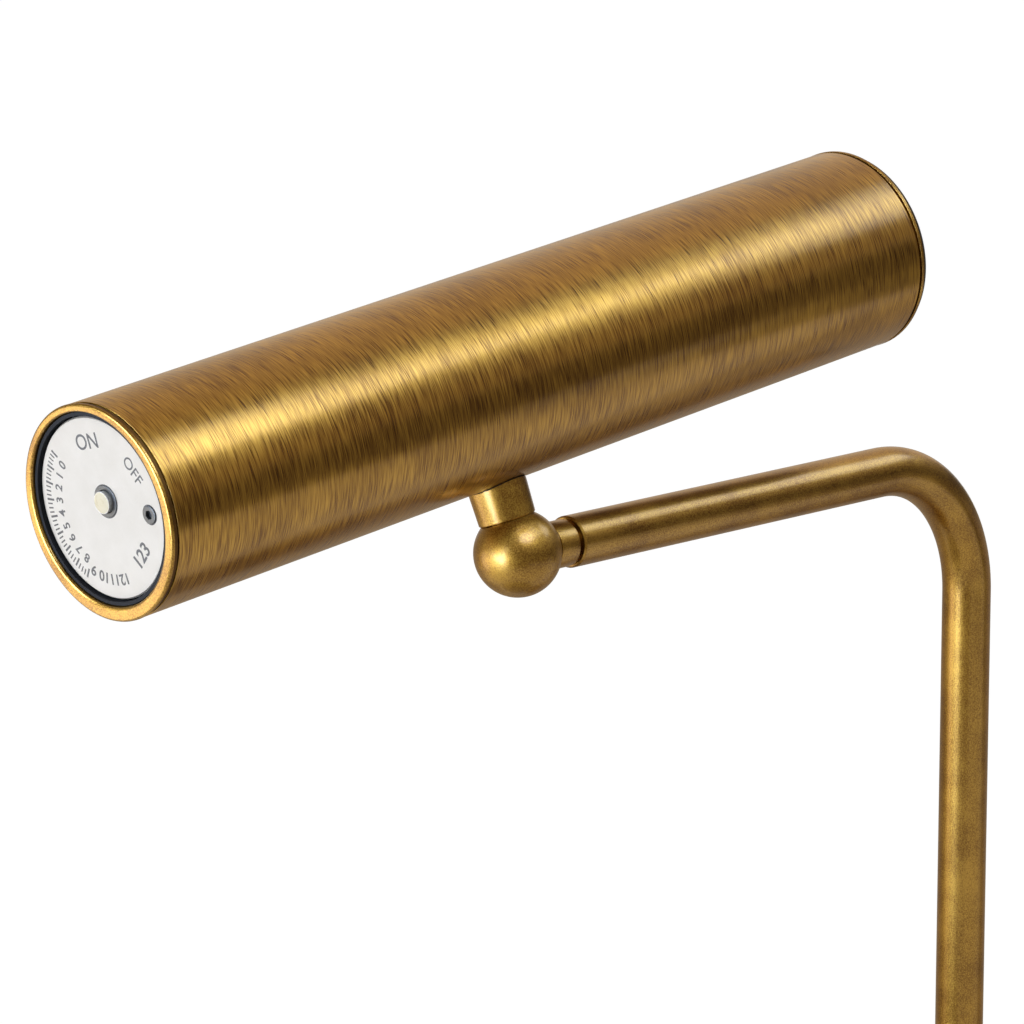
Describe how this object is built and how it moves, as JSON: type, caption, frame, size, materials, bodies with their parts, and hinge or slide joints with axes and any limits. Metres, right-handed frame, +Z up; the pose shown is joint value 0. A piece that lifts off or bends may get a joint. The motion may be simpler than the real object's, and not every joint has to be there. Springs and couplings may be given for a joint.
{
  "type": "piano lamp",
  "caption": "Brass piano lamp: a tubular shade with a push switch on a ball swivel, carried by one bent tube that turns on a round weighted base.",
  "frame": {"origin": "centre of the base's underside, on the axis that the post turns on", "axes": "+Z up along the post, the arm reaches towards -X, the cord inlet faces +X"},
  "size_m": [0.4401, 0.18, 0.4086],
  "materials": {
    "brass_brushed": "aged brass, brushed round the tube and lacquered",
    "brass_satin": "aged brass, satin polished and lacquered",
    "brass_turned": "bare turned brass",
    "steel_zinc": "zinc-plated steel",
    "bearing_plastic": "natural nylon",
    "iron_cast": "cast and painted grey",
    "felt_dark": "pressed felt",
    "rubber_black": "moulded rubber",
    "plate_white": "glossy off-white",
    "nickel_bright": "bright nickel plate",
    "button_cream": "cream moulding",
    "plastic_black": "moulded black plastic",
    "plastic_white": "moulded white plastic",
    "lead_sleeve": "flexible sleeve",
    "board_green": "glass-fibre board with green mask",
    "board_white": "board with white mask",
    "led_yellow": "phosphor under clear resin",
    "aluminium_mill": "extruded, mill finish",
    "diffuser_opal": "satin opal acrylic",
    "component_dark": "moulded component cases"
  },
  "bodies": {
    "base": {"felt_pad": "felt_dark", "base_weight": "iron_cast", "base_cover": "brass_satin", "swivel_bush": "brass_turned", "thrust_washer": "bearing_plastic", "base_collar": "brass_satin", "collar_grub_screw": "steel_zinc", "cord_grommet": "rubber_black", "terminal_block": "plastic_white", "terminal_screws": "steel_zinc", "base_lead": "lead_sleeve"},
    "arm": {"post_arm_tube": "brass_satin", "post_plug": "brass_turned", "spindle": "steel_zinc", "flat_washer": "steel_zinc", "post_spring_washer": "steel_zinc", "lock_nuts": "steel_zinc", "arm_lead": "lead_sleeve", "arm_bush": "brass_turned"},
    "ball": {"ball_shell": "brass_satin", "neck": "brass_satin", "neck_spring_washer": "steel_zinc", "neck_nut": "brass_turned"},
    "tilt_washer": {"ball_washer": "brass_turned"},
    "shade": {"stem": "brass_satin", "stem_gasket": "rubber_black", "stem_nipple": "brass_turned", "ball_nut": "brass_turned", "ball_spring_washer": "steel_zinc", "saddle_washer": "brass_turned", "shade_nut": "brass_turned", "shade_tube": "brass_brushed", "end_ring": "brass_satin", "far_cap": "brass_satin", "supply_lead": "lead_sleeve", "end_plate": "plate_white", "plate_screw": "nickel_bright", "end_bracket": "plastic_black", "button_bezel": "nickel_bright", "switch_body": "plastic_black", "switch_board": "board_green", "light_carrier": "aluminium_mill", "light_box_ends": "plastic_white", "diffuser": "diffuser_opal", "led_board": "board_white", "led_chips": "led_yellow", "board_screws": "steel_zinc", "driver_housing": "plastic_black", "driver_board": "board_green", "driver_components": "component_dark", "driver_screws": "steel_zinc", "bracket_screws": "steel_zinc", "switch_lead": "lead_sleeve", "button_spring": "steel_zinc"},
    "button": {"button_cap": "button_cream"}
  },
  "joints": [
    {"name": "arm_swing", "type": "hinge", "parent": "base", "child": "arm", "pos_m": [0, 0, 0.0288], "axis": [0, 0, 1], "range_deg": [-170, 170]},
    {"name": "ball_spin", "type": "hinge", "parent": "arm", "child": "ball", "pos_m": [-0.203, 0, 0.31], "axis": [1, 0, 0], "range_deg": [-147.6, 182.4]},
    {"name": "stem_tilt", "type": "hinge", "parent": "ball", "child": "tilt_washer", "pos_m": [-0.203, 0, 0.31], "axis": [0, -0.9542, 0.299], "range_deg": [-9.4, 20.6]},
    {"name": "shade_swivel", "type": "hinge", "parent": "tilt_washer", "child": "shade", "pos_m": [-0.203, 0, 0.31], "axis": [-0.1115, 0.2972, 0.9483], "range_deg": [-155.6, 164.4]},
    {"name": "button_push", "type": "slide", "parent": "shade", "child": "button", "axis": [0.9908, -0.04, 0.129], "range_m": [0, 0.0009], "stiffness_N_per_m": 900, "springref_m": -0.001, "deforming": ["button_spring"]}
  ]
}
